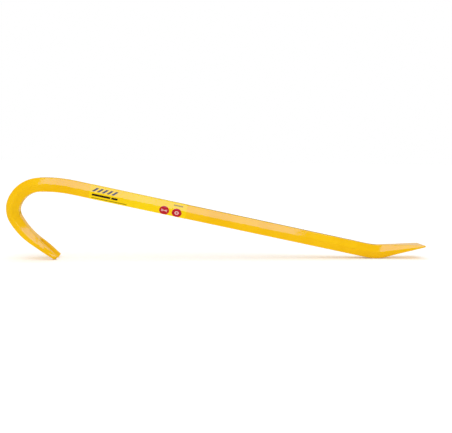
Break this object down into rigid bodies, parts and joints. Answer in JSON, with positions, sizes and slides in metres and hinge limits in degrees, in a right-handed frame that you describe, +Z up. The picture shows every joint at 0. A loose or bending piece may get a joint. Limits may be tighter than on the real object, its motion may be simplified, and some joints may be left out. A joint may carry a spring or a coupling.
{
  "type": "gooseneck wrecking bar",
  "caption": "Hexagonal steel pry bar with a gooseneck nail claw at one end, a bent flat chisel at the other, yellow enamel and a printed label sleeve.",
  "frame": {"origin": "on the floor, under the middle of the bounding box, with the bar standing on its claw tips and on the heel of its chisel end", "axes": "+X towards the chisel end, +Y across the bar, square to the bend plane, +Z up"},
  "size_m": [0.4594, 0.024, 0.0878],
  "materials": {
    "enamelled_steel": "glossy yellow enamel",
    "printed_vinyl": "glossy printed vinyl"
  },
  "bodies": {
    "root": {"forged_bar": "enamelled_steel", "label_sleeve": "printed_vinyl"}
  },
  "joints": []
}
